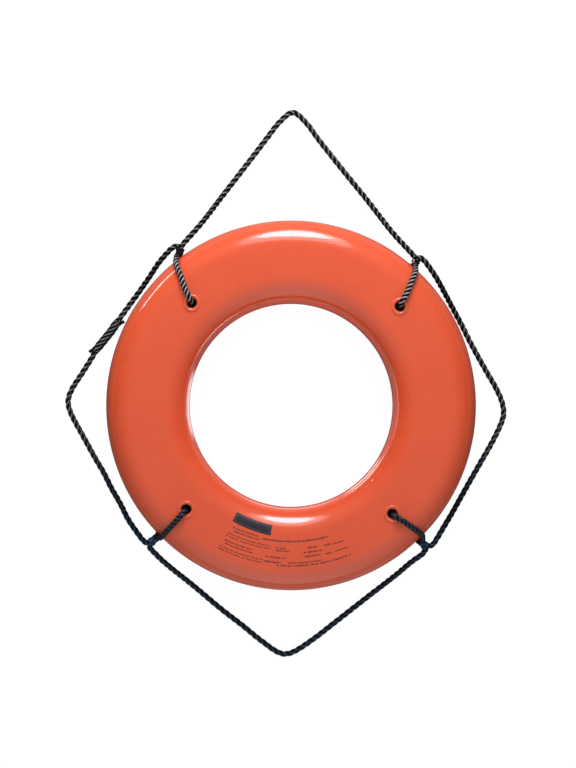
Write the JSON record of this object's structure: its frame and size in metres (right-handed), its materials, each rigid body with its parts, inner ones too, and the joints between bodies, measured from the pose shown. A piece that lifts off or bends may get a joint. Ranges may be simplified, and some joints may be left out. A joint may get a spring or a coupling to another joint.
{
  "type": "life ring",
  "caption": "Ring buoy of foam in a smooth orange skin, with a black laid rope that runs through eyelets and hangs round the edge in free bights to grab",
  "frame": {"origin": "centre of the ring's axis on the ground that the rear of the rope rests on", "axes": "+Z is the ring's axis and points out of its front face, +Y is the top of the ring, +X is to the right as seen from the front"},
  "size_m": [0.741, 0.9153, 0.1125],
  "materials": {
    "skin": "smooth glossy orange vinyl skin",
    "foam": "pale closed-cell foam",
    "eyelet": "glossy orange moulding",
    "rope": "black three-strand laid rope",
    "sleeve": "smooth dark blue sleeve"
  },
  "bodies": {
    "ring": {"outer_skin": "skin", "foam_core": "foam", "front_eyelet_upper_left": "eyelet", "front_eyelet_upper_right": "eyelet", "front_eyelet_lower_left": "eyelet", "front_eyelet_lower_right": "eyelet", "rear_eyelet_upper_left": "eyelet", "rear_eyelet_upper_right": "eyelet", "rear_eyelet_lower_left": "eyelet", "rear_eyelet_lower_right": "eyelet", "rope_loop_upper_left": "rope", "rope_loop_upper_right": "rope", "rope_loop_lower_left": "rope", "rope_loop_lower_right": "rope", "seizing_sleeve_upper_left": "sleeve", "seizing_sleeve_upper_right": "sleeve", "seizing_sleeve_lower_left": "sleeve", "seizing_sleeve_lower_right": "sleeve"},
    "top_bight": {"grab_line_top": "rope"},
    "right_bight": {"grab_line_right": "rope"},
    "bottom_bight": {"grab_line_bottom": "rope"},
    "left_bight": {"grab_line_left_upper": "rope", "grab_line_left_lower": "rope"}
  },
  "joints": [
    {"name": "top_swing", "type": "hinge", "parent": "ring", "child": "top_bight", "pos_m": [0.01136, 0.25933, 0.0563], "axis": [0.9989, -0.0386, -0.0259], "range_deg": [-75, 110]},
    {"name": "right_swing", "type": "hinge", "parent": "ring", "child": "right_bight", "pos_m": [0.22936, 0.00826, 0.0563], "axis": [0.0293, -0.9994, -0.0208], "range_deg": [-40, 115]},
    {"name": "bottom_swing", "type": "hinge", "parent": "ring", "child": "bottom_bight", "pos_m": [-0.00379, -0.24295, 0.0612], "axis": [-0.9999, 0.0158, 0], "range_deg": [-60, 140]},
    {"name": "left_swing", "type": "hinge", "parent": "ring", "child": "left_bight", "pos_m": [-0.22135, 0.02176, 0.0514], "axis": [0.0939, 0.9956, 0], "range_deg": [-60, 115]}
  ]
}
